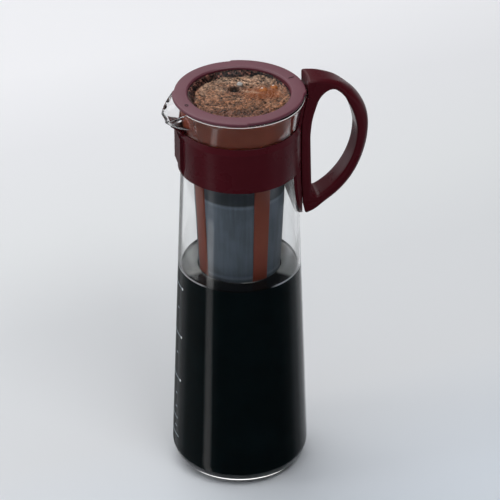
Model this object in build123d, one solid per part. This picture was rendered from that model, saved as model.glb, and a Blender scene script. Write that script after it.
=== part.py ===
from build123d import *
import math
import os

os.makedirs("parts", exist_ok=True)

# A one-litre cold brew pot in millimetres. Origin: centre of the underside.
# +Z is up, the handle lies along +X and the spout along -X.

# Glass jug
base_radius = 47.6      # the straight wall, carried down to the table
neck_radius = 38.5
rim_radius = 43.4
rim_height = 285.6
flare_depth = 37.6      # rim down to the neck
glass_wall = 1.9
glass_floor = 3.6
base_corner = 15.0
foot_band = 17.6        # from the wall's foot in to the edge of the hollow underneath
foot_hollow = 1.2
spout_reach = 52.2      # tip of the lip, from the jug's axis
spout_radius = 19.0     # curve of the lip, seen from above
spout_droop = 11.6      # how far the lip hangs below the rim
spout_depth = 31.6      # rim down to where the spout leaves the wall
droop_start = 38.5      # distance from the axis where the rim starts to fall

# Strap round the neck
band_gap = 0.15
band_wall = 1.8
band_below_neck = 14.0
band_height = 32.2
band_bevel = 4.2        # height of the tapered upper edge
band_land = 0.3         # flat left at the top of that taper
slit_width = 0.8
shield_half = 23.5      # wide plate that carries the handle, below the strap
shield_drop = 41.5
shield_rise = 17.0
shield_neck_half = 9.0
shield_root_half = 14.5
prow_half = 9.0         # flat plate below the spout
prow_proud = 1.0
prow_taper = 6.0
beak_half = 15.0        # lip of the strap that holds the spout from below
beak_reach = 47.3
beak_slope = 0.57
beak_root = 39.0

# Rail on the strap, and the handle that slides on it
rail_below_band = 32.0
rail_length = 48.0
rail_head_width = 9.0
rail_head_thick = 1.3
rail_web_width = 4.5
rail_lip = 1.6          # handle material behind the rail's head
slide_gap = 0.3
grip_mid_drop = 30.6    # rim down to the widest part of the grip
grip_reach = 87.6
grip_rise = 9.0         # top of the grip above the rim
grip_top_run = 48.0     # where the level top starts to fall
belly_run = 37.5        # below this point the grip's lower curve is level
belly_depth = 61.0
stem_thick = 5.2
hole_reach = 78.9
hole_mid_drop = 33.6
hole_low_radius = 52.4
# top of the hole: distance from the axis, and drop below the rim
hole_arch = ((50.2, 11.9), (52.8, 5.4), (57.4, 1.0), (63.0, 0.2), (69.0, 5.3), (72.9, 12.3), (76.4, 20.5))
hole_corner = 4.0
stem_half = 11.3
toe_cut = 2.2           # the foot stands off the shield by this much
toe_height = 11.0
grip_half = 8.4
grip_taper_end = 64.0   # distance from the axis where the grip gets its width
grip_chamfer = 2.3
ring_clearance = 1.0

# Filter: ring, frame and gauze
ring_radius = 44.2
ring_relief = 43.0      # radius of the ring's two cut-back sides
relief_turn = -95.0     # degrees from the handle to where a cut-back side starts
relief_arc = 80.0
ring_bore = 34.0
ring_thick = 2.4
ring_bevel = 1.0
skirt_depth = 6.0
fit_gap = 0.1
collar_top_radius = 39.4
collar_foot_radius = 35.8
collar_depth = 29.0
collar_wall = 1.4
funnel_depth = 18.0
hoop_depth = 7.0
hoop_radius = 32.5
basket_top_radius = 31.4
basket_foot_radius = 26.8
filter_length = 160.0   # top of the ring to the underside of the filter
basket_wall = 1.6
base_hoop = 5.0
base_lip = 3.2
base_thick = 1.8
rib_arc = 22.0          # degrees
rib_turn = 17.0         # degrees from the handle to the first rib
rib_count = 4
gauze_thick = 0.5
mark_turn = 16.0
mark_height = 0.3

# Contents
coffee_height = 158.0
liquid_gap = 0.1
grounds_below_ring = 5.0

foot_radius = base_radius - foot_band
neck_height = rim_height - flare_depth
wall_taper = (base_radius - neck_radius) / neck_height
band_grow = band_gap + band_wall
band_bottom = neck_height - band_below_neck
band_top = band_bottom + band_height
rail_bottom = band_bottom - rail_below_band
grip_mid_height = rim_height - grip_mid_drop
grip_top = rim_height + grip_rise
hole_mid_height = rim_height - hole_mid_drop
ring_top = rim_height + ring_thick


def flare_circle():
    """Centre and radius of the arc from the neck to the rim, tangent to the wall."""
    length = math.hypot(1.0, wall_taper)
    normal = (1.0 / length, wall_taper / length)
    chord = (rim_radius - neck_radius, rim_height - neck_height)
    square = chord[0] ** 2 + chord[1] ** 2
    radius = square / (2 * (chord[0] * normal[0] + chord[1] * normal[1]))
    return neck_radius + radius * normal[0], neck_height + radius * normal[1], radius


def jug_radius(z):
    """Outside radius of the glass at a height."""
    if z <= neck_height:
        return base_radius - wall_taper * z
    centre_x, centre_z, radius = flare_circle()
    return centre_x - math.sqrt(radius ** 2 - (z - centre_z) ** 2)


def turned(*curves):
    """Solid of revolution about Z from curves that close a face in the XZ plane."""
    return revolve(make_face(curves), axis=Axis.Z)


def slab(outline, low, high):
    """An outline in the XZ plane, given thickness along Y."""
    face = make_face(outline)
    return Pos(0, high, 0) * extrude(face, amount=high - low, dir=(0, -1, 0))


def envelope(grow, low, high):
    """The jug's round outside, grown, as a filled solid between two heights."""
    middle = (neck_height + min(high, rim_height)) / 2
    start = (jug_radius(low) + grow, 0, low)
    neck = (neck_radius + grow, 0, neck_height)
    bend = (jug_radius(middle) + grow, 0, middle)
    flare_top = min(high, rim_height)
    end = (jug_radius(flare_top) + grow, 0, flare_top)
    corner = (jug_radius(flare_top) + grow, 0, high)
    curves = [Line(start, neck), ThreePointArc(neck, bend, end)]
    if high > rim_height:
        curves.append(Line(end, corner))
    curves.append(Polyline(corner, (0, 0, high), (0, 0, low), start))
    return turned(*curves)


def spout_tip(z):
    """How far the spout reaches from the axis at a height."""
    root = rim_height - spout_depth
    lip = rim_height - spout_droop
    start = jug_radius(root) - glass_wall / 8
    share = min(1.0, (z - root) / (lip - root))
    return start + (spout_reach - start) * share ** 3


def spout(grow, high):
    """The spout's outside, grown, as a filled solid up to a height."""
    root = rim_height - spout_depth
    lip = rim_height - spout_droop
    sections = []
    for share in (0.0, 0.4, 0.65, 0.85, 1.0):
        z = root + (lip - root) * share
        curve = spout_radius * (0.6 + 0.4 * share)
        centre = spout_tip(z) - curve
        sections.append(Pos(-centre, 0, z) * Circle(curve + grow))
    upper = extrude(sections[-1], amount=high - lip)
    return loft(sections) + upper


def make_glass():
    foot = (foot_radius, 0, 0)
    outside = FilletPolyline(
        foot, (base_radius, 0, 0), (neck_radius, 0, neck_height), radius=base_corner)
    body = turned(
        outside,
        Polyline((neck_radius, 0, neck_height), (0, 0, neck_height), (0, 0, foot_hollow), foot))
    body += envelope(0, neck_height - 1, rim_height)
    body += spout(0, rim_height)
    inner_floor = (0, 0, glass_floor + foot_hollow)
    inner_corner = (base_radius - glass_wall, 0, glass_floor + foot_hollow)
    inner_neck = (neck_radius - glass_wall, 0, neck_height)
    inside = FilletPolyline(
        inner_floor, inner_corner, inner_neck, radius=base_corner - glass_wall)
    hollow = turned(inside, Polyline(inner_neck, (0, 0, neck_height), inner_floor))
    hollow += envelope(-glass_wall, neck_height - 1, rim_height + 1)
    hollow += spout(-glass_wall, rim_height + 1)
    fall = []
    for share in (0.0, 0.25, 0.5, 0.75, 1.0, 1.2):
        x = droop_start + (spout_reach - droop_start) * share
        fall.append((-x, 0, rim_height - spout_droop * share ** 1.25))
    far = -(spout_reach + 10)
    lid = Polyline(fall[-1], (far, 0, fall[-1][2]), (far, 0, rim_height + 5),
                   (-droop_start, 0, rim_height + 5), fall[0])
    droop = slab([Spline(fall), lid], -2 * spout_radius, 2 * spout_radius)
    return body - hollow - droop


def shield_outline():
    """Half of the plate that carries the handle, in the YZ plane, and its mirror."""
    low = band_bottom - 5
    shoulder = band_top - band_bevel - 1 - low
    top = band_top + shield_rise - low
    drop = shield_drop - 5
    half = make_face([
        EllipticalCenterArc((0, 0, 0), shield_half, drop, start_angle=270, arc_size=90),
        Polyline(
            (shield_half, 0, 0), (shield_half, shoulder, 0), (shield_root_half, shoulder, 0),
            (shield_neck_half, top, 0), (0, top, 0), (0, -drop, 0))])
    return Plane.YZ * Pos(0, low, 0) * (half + mirror(half, about=Plane.YZ))


def rail(gap, low, high):
    """The strap's T-shaped rail, parallel to the glass, grown by a gap."""
    lean = math.degrees(math.atan(wall_taper))
    seat = jug_radius(rail_bottom) + band_grow
    middle = (low + high) / 2
    head_x = seat + slide_gap + rail_lip + slide_gap
    web_depth = band_wall / 2 + slide_gap + rail_lip + slide_gap
    head = Pos(head_x + rail_head_thick / 2, 0, 0) * Box(
        rail_head_thick + 2 * gap, rail_head_width + 2 * gap, high - low)
    web = Pos(head_x - web_depth / 2 - gap, 0, 0) * Box(
        web_depth + 2 * gap + 0.2, rail_web_width + 2 * gap, high - low)
    shift = wall_taper * (middle - rail_bottom)
    return Pos(-shift, 0, middle) * Rot(0, -lean, 0) * (head + web)


def make_band():
    radius = jug_radius(band_bottom) + band_grow
    top_radius = jug_radius(band_top) + band_gap + band_land
    strap = turned(Polyline(
        (0, 0, band_bottom), (radius, 0, band_bottom), (radius, 0, band_top - band_bevel),
        (top_radius, 0, band_top), (0, 0, band_top), (0, 0, band_bottom)))
    low = band_bottom - shield_drop - 1
    high = band_top + shield_rise + 1
    plate = envelope(band_grow, low, high) & extrude(shield_outline(), amount=2 * base_radius)
    face_x = -(radius + prow_proud)
    inner_x = -radius / 2
    prow = slab(Polyline(
        (inner_x, 0, band_bottom), (-radius + prow_proud, 0, band_bottom),
        (face_x, 0, band_bottom + prow_taper), (face_x, 0, band_top - band_bevel),
        (inner_x, 0, band_top - band_bevel), (inner_x, 0, band_bottom)), -prow_half, prow_half)
    beak_low = rim_height - spout_depth + 2
    beak_high = band_top + beak_slope * (beak_reach - beak_root)
    wedge = slab(Polyline(
        (inner_x, 0, beak_low), (-beak_reach, 0, beak_low), (-beak_reach, 0, beak_high),
        (-beak_root, 0, band_top), (inner_x, 0, band_top), (inner_x, 0, beak_low)),
        -beak_half, beak_half)
    beak = spout(band_grow, rim_height) & wedge
    solid = strap + plate + prow + beak
    solid -= envelope(band_gap, low - 1, high + 1)
    solid -= spout(band_gap, rim_height + 1)
    solid += rail(0, rail_bottom, rail_bottom + rail_length) - envelope(band_gap, low - 1, high + 1)
    slit = Pos(base_radius, 0, rim_height / 2) * Box(2 * neck_radius, slit_width, rim_height)
    return solid - slit


def grip_plan():
    """Plan view of the handle: wide at the stem, narrow at the grip."""
    near = jug_radius(band_bottom) * 0.8
    far = grip_reach + 5
    flank = Spline((near, stem_half, 0), (grip_taper_end, grip_half, 0),
                   tangents=[(1, -0.02, 0), (1, 0, 0)])
    face = make_face([
        flank, Line((grip_taper_end, grip_half, 0), (far, grip_half, 0)),
        Line((far, grip_half, 0), (far, 0, 0)), Line((far, 0, 0), (near, 0, 0)),
        Line((near, 0, 0), (near, stem_half, 0))])
    return face + mirror(face, about=Plane.XZ)


def make_handle():
    inner_x = jug_radius(band_bottom) * 0.85
    foot_z = grip_mid_height - belly_depth
    plane = Plane.XZ
    crown = plane * Pos(grip_top_run, grip_mid_height, 0) * EllipticalCenterArc(
        (0, 0, 0), grip_reach - grip_top_run, grip_top - grip_mid_height,
        start_angle=0, arc_size=90)
    belly = plane * Pos(belly_run, grip_mid_height, 0) * EllipticalCenterArc(
        (0, 0, 0), grip_reach - belly_run, belly_depth, start_angle=270, arc_size=90)
    back = Polyline(
        (belly_run, 0, foot_z), (inner_x, 0, foot_z), (inner_x, 0, grip_top),
        (grip_top_run, 0, grip_top))
    block = extrude(make_face([crown, belly, back]), amount=stem_half * 1.5, both=True)
    plan = extrude(Pos(0, 0, foot_z - 5) * grip_plan(), amount=grip_top - foot_z + 10)
    solid = block & plan
    rounds = solid.edges().filter_by(
        lambda e: abs(e.center().Y) > grip_half / 2
        and e.center().X > inner_x + 1
        and e.length > grip_chamfer)
    solid = chamfer(rounds, grip_chamfer)

    stem_x = jug_radius(band_bottom) + band_grow + slide_gap + stem_thick
    low_centre = hole_reach - hole_low_radius
    corner_z = hole_mid_height - math.sqrt(hole_low_radius ** 2 - (stem_x + 1 - low_centre) ** 2)
    stem_low_x = stem_x + wall_taper * (band_bottom - corner_z)
    turn = math.degrees(math.acos((stem_low_x - low_centre) / hole_low_radius))
    corner_z = hole_mid_height - hole_low_radius * math.sin(math.radians(turn))
    arch = Spline(
        (stem_x, 0, hole_mid_height), *((run, 0, rim_height - drop) for run, drop in hole_arch),
        (hole_reach, 0, hole_mid_height), tangents=[(0, 0, 1), (0, 0, -1)])
    sweep = plane * Pos(low_centre, hole_mid_height, 0) * CenterArc(
        (0, 0, 0), hole_low_radius, 0, -turn)
    side = Line((stem_low_x, 0, corner_z), (stem_x, 0, hole_mid_height))
    hole_face = make_face([arch, sweep, side])
    sharp = hole_face.vertices().sort_by(Axis.Z)[0]
    hole = extrude(fillet(sharp, hole_corner), amount=stem_half * 2, both=True)
    solid -= hole

    seat = envelope(band_grow + slide_gap, foot_z - 5, band_top + shield_rise + 1)
    strap_radius = jug_radius(band_bottom) + band_grow + slide_gap
    straight = Pos(0, 0, (band_bottom + band_top) / 2) * Cylinder(
        strap_radius, band_top - band_bottom)
    ring_room = Pos(0, 0, band_top + shield_rise) * Box(
        2 * (ring_radius + ring_clearance), 4 * stem_half, grip_top - band_top,
        align=(Align.CENTER, Align.CENTER, Align.MIN))
    toe_x = jug_radius(foot_z + toe_height) + band_grow
    toe = slab(Polyline(
        (inner_x, 0, foot_z + toe_height), (toe_x, 0, foot_z + toe_height),
        (toe_x + toe_cut, 0, foot_z - 1), (inner_x, 0, foot_z - 1),
        (inner_x, 0, foot_z + toe_height)), -2 * stem_half, 2 * stem_half)
    solid = solid - seat - straight - ring_room - toe
    return solid - rail(slide_gap, rail_bottom - slide_gap, rim_height)


def collar_radius(z):
    """Outside radius of the filter's collar at a height below the rim."""
    return collar_top_radius - (collar_top_radius - collar_foot_radius) * (
        rim_height - z) / collar_depth


def make_ring():
    skirt_low = rim_height - skirt_depth
    room = collar_wall + fit_gap
    solid = turned(Polyline(
        (ring_bore, 0, skirt_low), (collar_radius(skirt_low) - room, 0, skirt_low),
        (collar_radius(rim_height) - room, 0, rim_height), (ring_radius, 0, rim_height),
        (ring_radius, 0, ring_top - ring_bevel / 2),
        (ring_radius - ring_bevel / 2, 0, ring_top),
        (ring_bore + ring_bevel, 0, ring_top), (ring_bore, 0, ring_top - ring_bevel),
        (ring_bore, 0, skirt_low)))
    for start in (relief_turn, relief_turn + 180):
        solid -= wedge(ring_relief, ring_radius + 1, skirt_low, ring_top + 1, start, relief_arc)
    middle = (ring_radius + ring_bore) / 2
    lift = ring_top + mark_height / 2
    bar = Rot(0, 0, mark_turn) * Pos(middle, 0, lift) * Box(4, 0.8, mark_height)
    dot = Rot(0, 0, mark_turn + 180) * Pos(middle, 0, lift) * (
        Cylinder(1.3, mark_height) - Cylinder(0.7, mark_height))
    return solid + bar + dot


def basket_radius(z):
    """Outside radius of the basket at a height."""
    foot = ring_top - filter_length
    top = rim_height - collar_depth - funnel_depth - hoop_depth
    return basket_foot_radius + (basket_top_radius - basket_foot_radius) * (z - foot) / (top - foot)


def filter_walls():
    """Heights of the filter's sections, from the top down."""
    collar_foot = rim_height - collar_depth
    hoop_top = collar_foot - funnel_depth
    hoop_foot = hoop_top - hoop_depth
    return collar_foot, hoop_top, hoop_foot, ring_top - filter_length


def wedge(inner, outer, low, high, turn, arc):
    """A ring sector about Z that starts at an angle."""
    ring = make_face(Polyline(
        (inner, 0, low), (outer, 0, low), (outer, 0, high), (inner, 0, high), (inner, 0, low)))
    return Rot(0, 0, turn) * revolve(ring, axis=Axis.Z, revolution_arc=arc)


def make_frame():
    collar_foot, hoop_top, hoop_foot, foot = filter_walls()
    top_seat = collar_radius(rim_height)
    wall = turned(Polyline(
        (top_seat, 0, rim_height), (collar_foot_radius, 0, collar_foot),
        (hoop_radius, 0, hoop_top), (hoop_radius, 0, hoop_foot),
        (basket_top_radius, 0, hoop_foot), (basket_foot_radius, 0, foot),
        (basket_foot_radius - basket_wall - base_lip, 0, foot),
        (basket_foot_radius - basket_wall - base_lip, 0, foot + base_thick),
        (basket_foot_radius - basket_wall, 0, foot + base_thick),
        (basket_top_radius - basket_wall, 0, hoop_foot),
        (basket_top_radius - basket_wall, 0, hoop_top),
        (collar_foot_radius - collar_wall, 0, collar_foot + collar_wall),
        (top_seat - collar_wall, 0, rim_height), (top_seat, 0, rim_height)))
    pitch = 360 / rib_count
    for index in range(rib_count):
        wall -= wedge(
            basket_foot_radius / 2, hoop_radius + 1, foot + base_hoop, hoop_foot,
            rib_turn + rib_arc / 2 + index * pitch, pitch - rib_arc)
    return wall


def make_gauze(index):
    collar_foot, hoop_top, hoop_foot, foot = filter_walls()
    low = foot + base_hoop + fit_gap
    high = hoop_foot - fit_gap
    inset = (basket_wall + gauze_thick) / 2
    strip = make_face(Polyline(
        (basket_radius(low) - inset, 0, low), (basket_radius(low) - inset + gauze_thick, 0, low),
        (basket_radius(high) - inset + gauze_thick, 0, high),
        (basket_radius(high) - inset, 0, high), (basket_radius(low) - inset, 0, low)))
    pitch = 360 / rib_count
    slack = math.degrees(fit_gap / basket_foot_radius)
    turn = rib_turn + rib_arc / 2 + index * pitch + slack
    return Rot(0, 0, turn) * revolve(
        strip, axis=Axis.Z, revolution_arc=pitch - rib_arc - 2 * slack)


def make_floor_gauze():
    foot = ring_top - filter_length
    radius = basket_foot_radius - basket_wall - fit_gap
    return Pos(0, 0, foot + base_thick + gauze_thick / 2) * Cylinder(radius, gauze_thick)


def make_grounds():
    collar_foot, hoop_top, hoop_foot, foot = filter_walls()
    low = foot + base_thick + gauze_thick
    skirt_low = rim_height - skirt_depth
    top = ring_top - grounds_below_ring
    room = fit_gap
    inset = (basket_wall + gauze_thick) / 2 + room
    return turned(Polyline(
        (0, 0, low), (basket_radius(low) - basket_wall - room, 0, low),
        (basket_top_radius - basket_wall - room, 0, hoop_foot),
        (basket_top_radius - basket_wall - room, 0, hoop_top),
        (collar_foot_radius - collar_wall - room, 0, collar_foot + collar_wall),
        (collar_radius(skirt_low) - collar_wall - room, 0, skirt_low - room),
        (ring_bore - room, 0, skirt_low - room), (ring_bore - room, 0, top),
        (0, 0, top), (0, 0, low)))


def make_coffee():
    floor = glass_floor + foot_hollow + liquid_gap
    start = (base_radius - glass_wall - liquid_gap, 0, floor)
    edge = (jug_radius(coffee_height) - glass_wall - liquid_gap, 0, coffee_height)
    side = FilletPolyline(
        (0, 0, floor), start, edge, radius=base_corner - glass_wall - liquid_gap)
    body = turned(side, Polyline(edge, (0, 0, coffee_height), (0, 0, floor)))
    foot = ring_top - filter_length
    above = coffee_height + 1
    room = slide_gap
    return body - turned(Polyline(
        (0, 0, foot - room), (basket_radius(foot) + room, 0, foot - room),
        (basket_radius(above) + room, 0, above), (0, 0, above), (0, 0, foot - room)))


def save(part, name):
    """Write one node and print what it holds."""
    part.label = name
    export_step(part, f"parts/{name}.step")
    box = part.bounding_box()
    print(name, len(part.solids()), round(part.volume), box.min, box.max)


save(make_glass(), "glass_jug")
save(make_band(), "collar_band")
save(make_handle(), "handle")
save(make_ring(), "rim_ring")
save(make_frame(), "filter_frame")
for number in range(rib_count):
    save(make_gauze(number), f"mesh_panel_{number + 1}")
save(make_floor_gauze(), "mesh_floor")
save(make_grounds(), "coffee_grounds")
save(make_coffee(), "brewed_coffee")
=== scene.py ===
import math

import bmesh
import bpy
from mathutils import Matrix, Vector, noise


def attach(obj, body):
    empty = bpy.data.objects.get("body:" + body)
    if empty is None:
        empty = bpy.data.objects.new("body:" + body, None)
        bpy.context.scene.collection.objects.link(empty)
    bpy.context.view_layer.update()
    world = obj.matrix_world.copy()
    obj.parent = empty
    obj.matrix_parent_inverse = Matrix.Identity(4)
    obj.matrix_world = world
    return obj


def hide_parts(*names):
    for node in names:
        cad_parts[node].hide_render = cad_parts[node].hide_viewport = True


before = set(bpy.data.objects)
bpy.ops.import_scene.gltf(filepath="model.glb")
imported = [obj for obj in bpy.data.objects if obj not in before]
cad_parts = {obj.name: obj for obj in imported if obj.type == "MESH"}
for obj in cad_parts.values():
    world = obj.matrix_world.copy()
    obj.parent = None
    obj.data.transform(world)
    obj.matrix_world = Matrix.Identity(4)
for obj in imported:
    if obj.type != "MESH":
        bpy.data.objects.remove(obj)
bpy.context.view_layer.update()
scene = bpy.context.scene
print("frame loaded")


# camera: lens and sensor in millimetres, places in metres
camera = {
    "lens": 216.0,
    "sensor": 36.0,
    "azimuth": 13.0,          # degrees to the right of +Y that the camera looks
    "elevation": 31.8,
    "distance": 2.03,
    "aimHeight": 0.1657,
    "aimRight": 0.0071,
}


def placeCamera():
    az = math.radians(camera["azimuth"])
    el = math.radians(camera["elevation"])
    right = Vector((math.cos(az), -math.sin(az), 0))
    ahead = Vector((math.sin(az), math.cos(az), 0))
    look = ahead * math.cos(el) - Vector((0, 0, math.sin(el)))
    aim = right * camera["aimRight"] + Vector((0, 0, camera["aimHeight"]))
    data = bpy.data.cameras.new("mainCamera")
    data.lens = camera["lens"]
    data.sensor_width = camera["sensor"]
    eye = bpy.data.objects.new("mainCamera", data)
    eye.location = aim - look * camera["distance"]
    eye.rotation_mode = "QUATERNION"
    eye.rotation_quaternion = look.to_track_quat("-Z", "Y")
    scene.collection.objects.link(eye)
    scene.camera = eye
    return ahead, right


ahead, right = placeCamera()
up = Vector((0, 0, 1))
print("camera placed")


# mesh helpers, points in millimetres

def blendStep(value):
    t = max(0.0, min(1.0, value))
    return t * t * (3 - 2 * t)


def between(stops, value):
    # smooth value between (place, amount) stops
    if value <= stops[0][0]:
        return stops[0][1]
    for (a, low), (b, high) in zip(stops[:-1], stops[1:]):
        if value <= b:
            return low + (high - low) * blendStep((value - a) / (b - a))
    return stops[-1][1]


def turnFrom(angle, start):
    # signed degrees from one direction to another, both in degrees
    return (angle - start + 180) % 360 - 180


def polar(radius, turn, z=0.0):
    return (radius * math.cos(turn), radius * math.sin(turn), z)


def circle(radius, z, steps):
    return [polar(radius, math.tau * i / steps, z) for i in range(steps)]


def finishMesh(name, bm, material, smooth=40):
    mesh = bpy.data.meshes.new(name)
    bmesh.ops.recalc_face_normals(bm, faces=bm.faces)
    bm.to_mesh(mesh)
    bm.free()
    mesh.transform(Matrix.Scale(0.001, 4))
    mesh.materials.append(material)
    mesh.shade_smooth()
    mesh.set_sharp_from_angle(angle=math.radians(smooth))
    piece = bpy.data.objects.new(name, mesh)
    scene.collection.objects.link(piece)
    return piece


def skinRows(bm, rows, loop=True, capFirst=False, capLast=False, closeRows=False):
    # quads between rows of points
    made = [[bm.verts.new(p) for p in row] for row in rows]
    count = len(made[0])
    last = count if loop else count - 1
    pairs = list(zip(made[:-1], made[1:]))
    if closeRows:
        pairs.append((made[-1], made[0]))
    for low, high in pairs:
        for i in range(last):
            j = (i + 1) % count
            bm.faces.new((low[i], low[j], high[j], high[i]))
    if capFirst:
        bm.faces.new(list(reversed(made[0])))
    if capLast:
        bm.faces.new(made[-1])
    return made


def lathe(bm, profile, steps=200, closed=True):
    # turns (radius, height) points round the jug's axis
    return skinRows(bm, [circle(radius, z, steps) for radius, z in profile], closeRows=closed)


def roundCorner(before, corner, after, radius, steps=5):
    # points of an arc that rounds a corner of a flat outline
    b, c, a = Vector(before), Vector(corner), Vector(after)
    first, second = (b - c).normalized(), (a - c).normalized()
    half = math.acos(max(-1, min(1, first.dot(second)))) / 2
    reach = min(radius / math.tan(half), (b - c).length * 0.49, (a - c).length * 0.49)
    radius = reach * math.tan(half)
    centre = c + (first + second).normalized() * (radius / math.sin(half))
    start, end = c + first * reach, c + second * reach
    points = []
    for i in range(steps + 1):
        t = i / steps
        spoke = ((start - centre) * (1 - t) + (end - centre) * t).normalized() * radius
        points.append(tuple(centre + spoke))
    return points


def roundedOutline(points, radii):
    # a closed flat outline with its corners rounded
    made = []
    count = len(points)
    for i, corner in enumerate(points):
        if radii[i] <= 0:
            made.append(corner)
        else:
            made += roundCorner(points[i - 1], corner, points[(i + 1) % count], radii[i])
    return made


def arcPoints(cx, cz, rx, rz, start, end, steps):
    points = []
    for i in range(steps + 1):
        turn = math.radians(start + (end - start) * i / steps)
        points.append((cx + rx * math.cos(turn), cz + rz * math.sin(turn)))
    return points


def smoothLine(points, steps=6):
    # a smooth line from the second point to the last but one
    made = []
    for p, a, b, n in zip(points, points[1:], points[2:], points[3:]):
        for i in range(steps):
            t = i / steps
            made.append(tuple(0.5 * (
                2 * a[k] + (b[k] - p[k]) * t
                + (2 * p[k] - 5 * a[k] + 4 * b[k] - n[k]) * t * t
                + (3 * a[k] - p[k] - 3 * b[k] + n[k]) * t ** 3) for k in (0, 1)))
    made.append(points[-2])
    return made


def firstHit(outline, centre, way):
    # how far a flat ray runs before it meets an outline
    best = None
    for a, b in zip(outline, outline[1:] + outline[:1]):
        ex, ez = b[0] - a[0], b[1] - a[1]
        cross = way[0] * ez - way[1] * ex
        if abs(cross) < 1e-9:
            continue
        dx, dz = a[0] - centre[0], a[1] - centre[1]
        far = (dx * ez - dz * ex) / cross
        share = (dx * way[1] - dz * way[0]) / cross
        if 0 <= share < 1 and far > 0 and (best is None or far < best):
            best = far
    return best


def mixColour(a, b, t):
    return tuple(x + (y - x) * t for x, y in zip(a, b))


def paint(bm, colourAt, name="tint"):
    # colours each corner of a mesh by its vertex
    layer = bm.loops.layers.float_color.new(name)
    for face in bm.faces:
        for loop in face.loops:
            loop[layer] = (*colourAt(loop.vert), 1)


# material helpers

def startMaterial(name):
    made = bpy.data.materials.new(name)
    made.use_nodes = True
    tree = made.node_tree
    return made, tree, tree.nodes["Principled BSDF"]


def addNode(tree, kind, **values):
    # a value goes into the socket of its name, or else onto the node
    node = tree.nodes.new(kind)
    for key, value in values.items():
        socket = key.replace("_", " ")
        if socket in node.inputs:
            node.inputs[socket].default_value = value
        else:
            setattr(node, key, value)
    return node


def setSockets(shader, **values):
    for key, value in values.items():
        shader.inputs[key.replace("_", " ")].default_value = value


def addRamp(tree, source, stops):
    ramp = tree.nodes.new("ShaderNodeValToRGB")
    while len(ramp.color_ramp.elements) < len(stops):
        ramp.color_ramp.elements.new(0.5)
    for element, (place, colour) in zip(ramp.color_ramp.elements, stops):
        element.position = place
        element.color = (*colour, 1)
    tree.links.new(source, ramp.inputs["Fac"])
    return ramp.outputs["Color"]


def addNoise(tree, scale, detail=3.0, roughness=0.5):
    place = tree.nodes.new("ShaderNodeTexCoord")
    cloud = addNode(tree, "ShaderNodeTexNoise", Scale=scale, Detail=detail, Roughness=roughness)
    tree.links.new(place.outputs["Object"], cloud.inputs["Vector"])
    return cloud.outputs["Fac"]


def addMath(tree, operation, *values):
    node = addNode(tree, "ShaderNodeMath", operation=operation)
    for socket, value in zip(node.inputs, values):
        if isinstance(value, float):
            socket.default_value = value
        else:
            tree.links.new(value, socket)
    return node.outputs["Value"]


def addVector(tree, operation, source, fixed):
    node = addNode(tree, "ShaderNodeVectorMath", operation=operation)
    tree.links.new(source, node.inputs[0])
    node.inputs[1].default_value = fixed
    return node.outputs["Value" if operation == "DOT_PRODUCT" else "Vector"]


def addMix(tree, blend, first, second):
    mix = addNode(tree, "ShaderNodeMix", data_type="RGBA", blend_type=blend, Factor=1.0)
    tree.links.new(first, mix.inputs["A"])
    tree.links.new(second, mix.inputs["B"])
    return mix.outputs["Result"]


def addBump(tree, shader, height, strength, distance):
    bump = addNode(tree, "ShaderNodeBump", Strength=strength, Distance=distance)
    tree.links.new(height, bump.inputs["Height"])
    tree.links.new(bump.outputs["Normal"], shader.inputs["Normal"])
    return bump


def addRoughness(tree, shader, low, high):
    spread = addNode(tree, "ShaderNodeMapRange", To_Min=low, To_Max=high)
    tree.links.new(addNoise(tree, 60.0), spread.inputs["Value"])
    tree.links.new(spread.outputs["Result"], shader.inputs["Roughness"])


def addTint(tree, shader, low, high, scale):
    # colour painted on the mesh, with a fine grain over it
    painted = addNode(tree, "ShaderNodeVertexColor", layer_name="tint")
    grain = addRamp(tree, addNoise(tree, scale, 4.0, 0.6),
                    [(0.3, (low,) * 3), (0.7, (high,) * 3)])
    tree.links.new(addMix(tree, "MULTIPLY", painted.outputs["Color"], grain),
                   shader.inputs["Base Color"])


# burgundy moulded plastic: polished on the strap and handle, satin on the ring, lighter there as
# painted reflection, and darker in the ring's small marks as painted shade
polished = {
    "dark": (0.062, 0.0036, 0.0076),
    "light": (0.074, 0.0046, 0.0096),
    "rough": (0.24, 0.32),
    "specular": 0.20,
    "grain": 2600.0,
    "edge": 0.0006,
}
# the satin copy is lighter: painted reflection of the bright sky on the ring's top
satinLit = {
    "dark": (0.122, 0.0140, 0.0330),
    "light": (0.138, 0.0170, 0.0385),
    "rough": (0.44, 0.52),
    "specular": 0.95,
    "grain": 3200.0,
    "edge": 0.0004,
}
# the ring's marks: the same plastic, darker as painted shade
shadedMark = {**satinLit, "dark": (0.016, 0.0020, 0.0050), "light": (0.024, 0.0030, 0.0070),
          "specular": 0.3}


def makeBurgundy(name, look):
    made, tree, shader = startMaterial(name)
    tint = addRamp(tree, addNoise(tree, 22.0), [(0.35, look["dark"]), (0.65, look["light"])])
    tree.links.new(tint, shader.inputs["Base Color"])
    addRoughness(tree, shader, *look["rough"])
    bump = addBump(tree, shader, addNoise(tree, look["grain"], 2.0), 0.12, 0.00004)
    soften = addNode(tree, "ShaderNodeBevel", Radius=look["edge"], samples=4)
    tree.links.new(soften.outputs["Normal"], bump.inputs["Normal"])
    setSockets(shader, IOR=1.5, Specular_IOR_Level=look["specular"])
    return made


# clear glass
glass = {"ior": 1.46, "tint": (0.997, 1.0, 0.999)}


def makeGlass():
    made, tree, shader = startMaterial("clearGlass")
    setSockets(shader, Base_Color=(*glass["tint"], 1), Roughness=0.0, IOR=glass["ior"],
               Transmission_Weight=1.0)
    addBump(tree, shader, addNoise(tree, 28.0, 1.0), 0.05, 0.0006)      # slight waves
    return made


burgundyPlastic = makeBurgundy("burgundyPlastic", polished)
satinLitPlastic = makeBurgundy("satinLitPlastic", satinLit)
clearGlass = makeGlass()
print("first materials made")


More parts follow.
